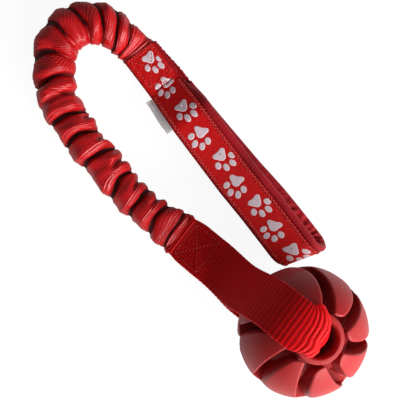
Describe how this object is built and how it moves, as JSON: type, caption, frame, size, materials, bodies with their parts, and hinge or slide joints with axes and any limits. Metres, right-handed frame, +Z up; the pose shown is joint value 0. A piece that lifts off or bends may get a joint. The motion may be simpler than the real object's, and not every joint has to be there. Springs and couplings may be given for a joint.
{
  "type": "bungee tug toy",
  "caption": "Dog tug toy: a lobed rubber treat ball on a ribbed webbing strap, joined by a gathered bungee sleeve to a padded hand loop with a paw-print ribbon.",
  "frame": {"origin": "on the surface the toy lies on, under the centre of its bounding box", "axes": "+Z up from that surface; +Y is the toy's longer side as it lies folded, from the ball end to the arch of the bungee; +X to the hand loop's side"},
  "size_m": [0.1822, 0.2166, 0.072],
  "materials": {
    "webbing": "woven nylon webbing, matt",
    "ribbon": "woven polyester ribbon with a printed paw pattern",
    "lining": "soft padded lining, matt",
    "tag": "white woven tag, blank",
    "thread": "sewing thread",
    "sleeve": "gathered nylon tube, satin sheen",
    "elastic": "braided elastic cord",
    "strap": "ribbed nylon webbing, satin",
    "ball": "moulded rubber, matt"
  },
  "bodies": {
    "handle": {"handle_webbing": "webbing", "paw_ribbon": "ribbon", "handle_lining": "lining", "side_tag": "tag", "sleeve_upper_cuff": "sleeve", "handle_box_stitch": "thread"},
    "bungee_a": {"sleeve_1": "sleeve", "bungee_core_1": "elastic"},
    "bungee_b": {"sleeve_2": "sleeve", "bungee_core_2": "elastic"},
    "bungee_c": {"sleeve_3": "sleeve", "bungee_core_3": "elastic"},
    "bungee_d": {"sleeve_4": "sleeve", "bungee_core_4": "elastic"},
    "cuff": {"sleeve_lower_cuff": "sleeve", "strap_box_stitch": "thread"},
    "strap": {"ball_strap": "strap"},
    "ball": {"ball": "ball"}
  },
  "joints": [
    {"name": "handle_flex", "type": "hinge", "parent": "handle", "child": "bungee_a", "pos_m": [-0.03241, 0.08025, 0.0045], "axis": [-0.7955, -0.606, 0], "range_deg": [0, 75], "deforming": ["sleeve_1", "bungee_core_1"]},
    {"name": "bungee_bend_1", "type": "hinge", "parent": "bungee_a", "child": "bungee_b", "pos_m": [-0.05058, 0.09548, 0.0098], "axis": [0, 0, -1], "range_deg": [0, 50], "deforming": ["sleeve_1", "bungee_core_1", "sleeve_2", "bungee_core_2"]},
    {"name": "bungee_bend_2", "type": "hinge", "parent": "bungee_b", "child": "bungee_c", "pos_m": [-0.07925, 0.08027, 0.0105], "axis": [0, 0, -1], "range_deg": [0, 50], "deforming": ["sleeve_2", "bungee_core_2", "sleeve_3", "bungee_core_3"]},
    {"name": "bungee_bend_3", "type": "hinge", "parent": "bungee_c", "child": "bungee_d", "pos_m": [-0.07334, 0.04559, 0.0101], "axis": [0, 0, -1], "range_deg": [0, 50], "deforming": ["sleeve_3", "bungee_core_3", "sleeve_4", "bungee_core_4"]},
    {"name": "bungee_stretch", "type": "slide", "parent": "bungee_d", "child": "cuff", "axis": [0.7912, -0.6115, 0], "range_m": [0, 0.085], "stiffness_N_per_m": 200, "deforming": ["sleeve_4", "bungee_core_4"]},
    {"name": "strap_flex", "type": "hinge", "parent": "cuff", "child": "strap", "pos_m": [0.00789, -0.03576, 0.01686], "axis": [-0.6115, -0.7912, 0], "range_deg": [0, 90], "deforming": ["ball_strap"]},
    {"name": "ball_spin", "type": "hinge", "parent": "strap", "child": "ball", "pos_m": [0.05625, -0.07327, 0.0342], "axis": [0.1672, 0.0205, 0.9857], "continuous": true}
  ]
}
